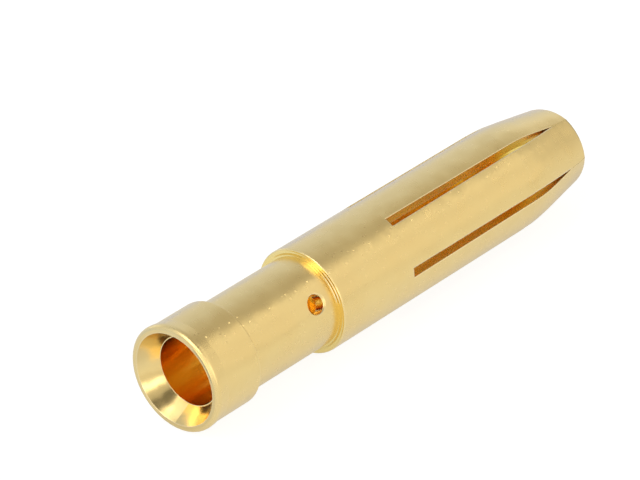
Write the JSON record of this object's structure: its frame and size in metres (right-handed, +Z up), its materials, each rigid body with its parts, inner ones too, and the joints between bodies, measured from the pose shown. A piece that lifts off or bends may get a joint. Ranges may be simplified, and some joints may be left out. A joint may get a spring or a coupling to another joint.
{
  "type": "crimp socket contact",
  "caption": "Gold-plated turned socket contact: funnelled crimp barrel with a sight hole, a rear shoulder and slotted spring fingers closed in at the tip to grip a round pin.",
  "frame": {"origin": "on the surface that the lying contact rests on, under the middle of its length", "axes": "+X along the contact from the crimp end to the finger tips, +Z up"},
  "size_m": [0.0236, 0.0044, 0.0045],
  "materials": {
    "gold_plate": "satin gold plate on a turned copper alloy"
  },
  "bodies": {
    "root": {"socket_contact": "gold_plate"}
  },
  "joints": []
}
